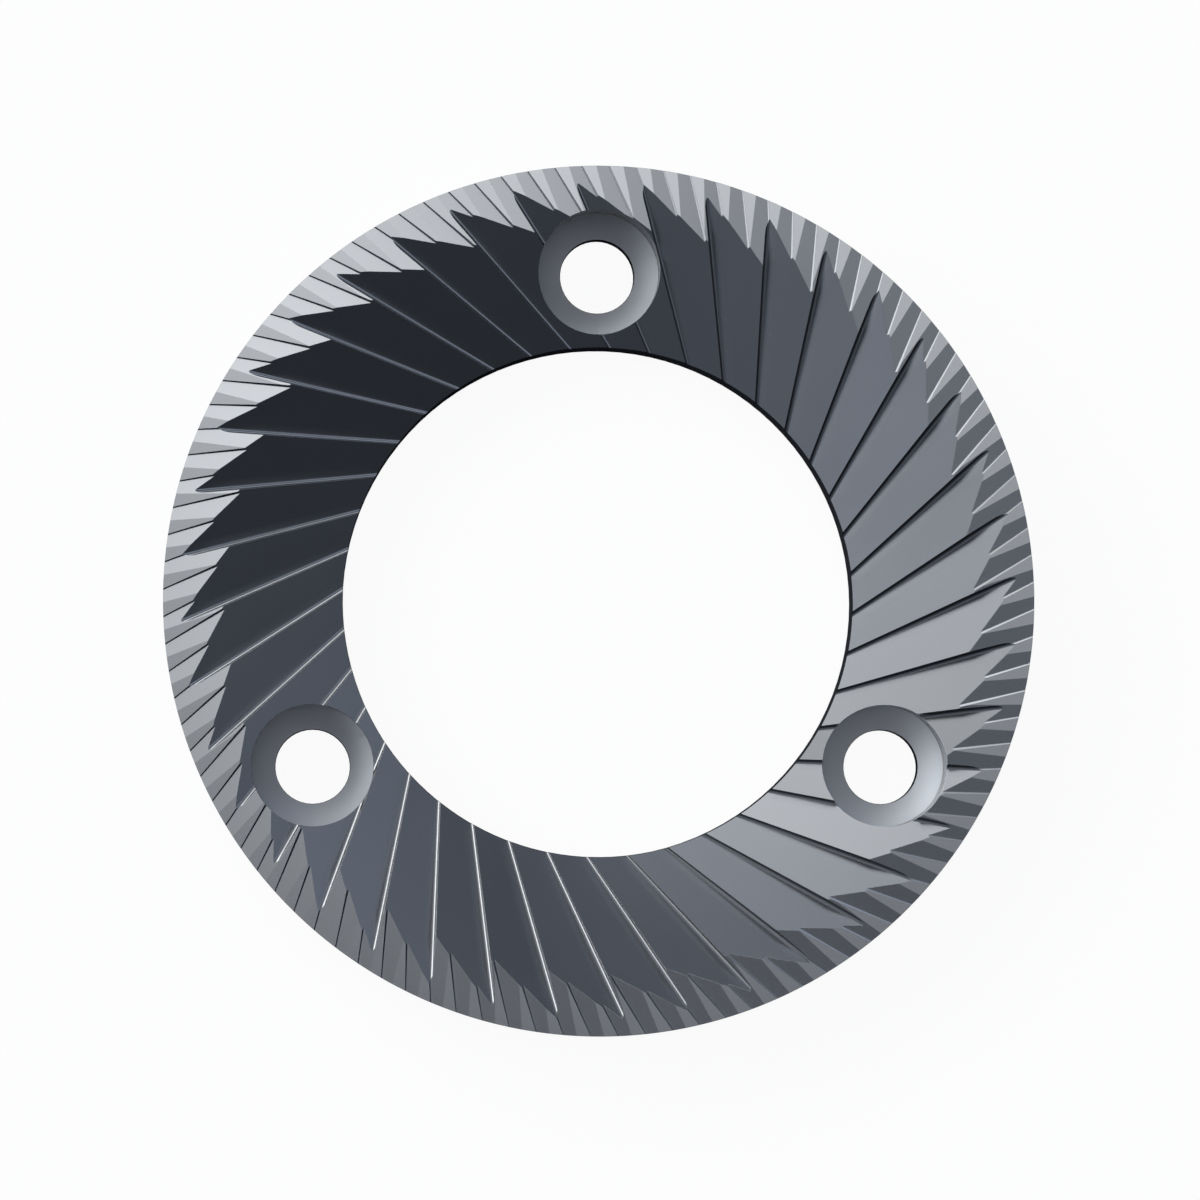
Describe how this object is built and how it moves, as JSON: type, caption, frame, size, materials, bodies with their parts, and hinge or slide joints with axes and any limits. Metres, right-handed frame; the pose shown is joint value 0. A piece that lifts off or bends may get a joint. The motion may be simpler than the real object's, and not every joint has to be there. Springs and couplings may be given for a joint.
{
  "type": "flat grinder burr",
  "caption": "Flat ring burr for a coffee grinder: coarse breaker teeth round the bore, fine finishing teeth at the rim, countersunk screw holes.",
  "frame": {"origin": "Centre of the flat back face, which the burr lies on.", "axes": "+Z runs along the bore towards the teeth, +Y points from the bore axis at a screw hole, +X completes the right-handed frame."},
  "size_m": [0.064, 0.064, 0.006],
  "materials": {
    "burr_steel": "dark satin, coated"
  },
  "bodies": {
    "root": {"burr": "burr_steel"}
  },
  "joints": []
}
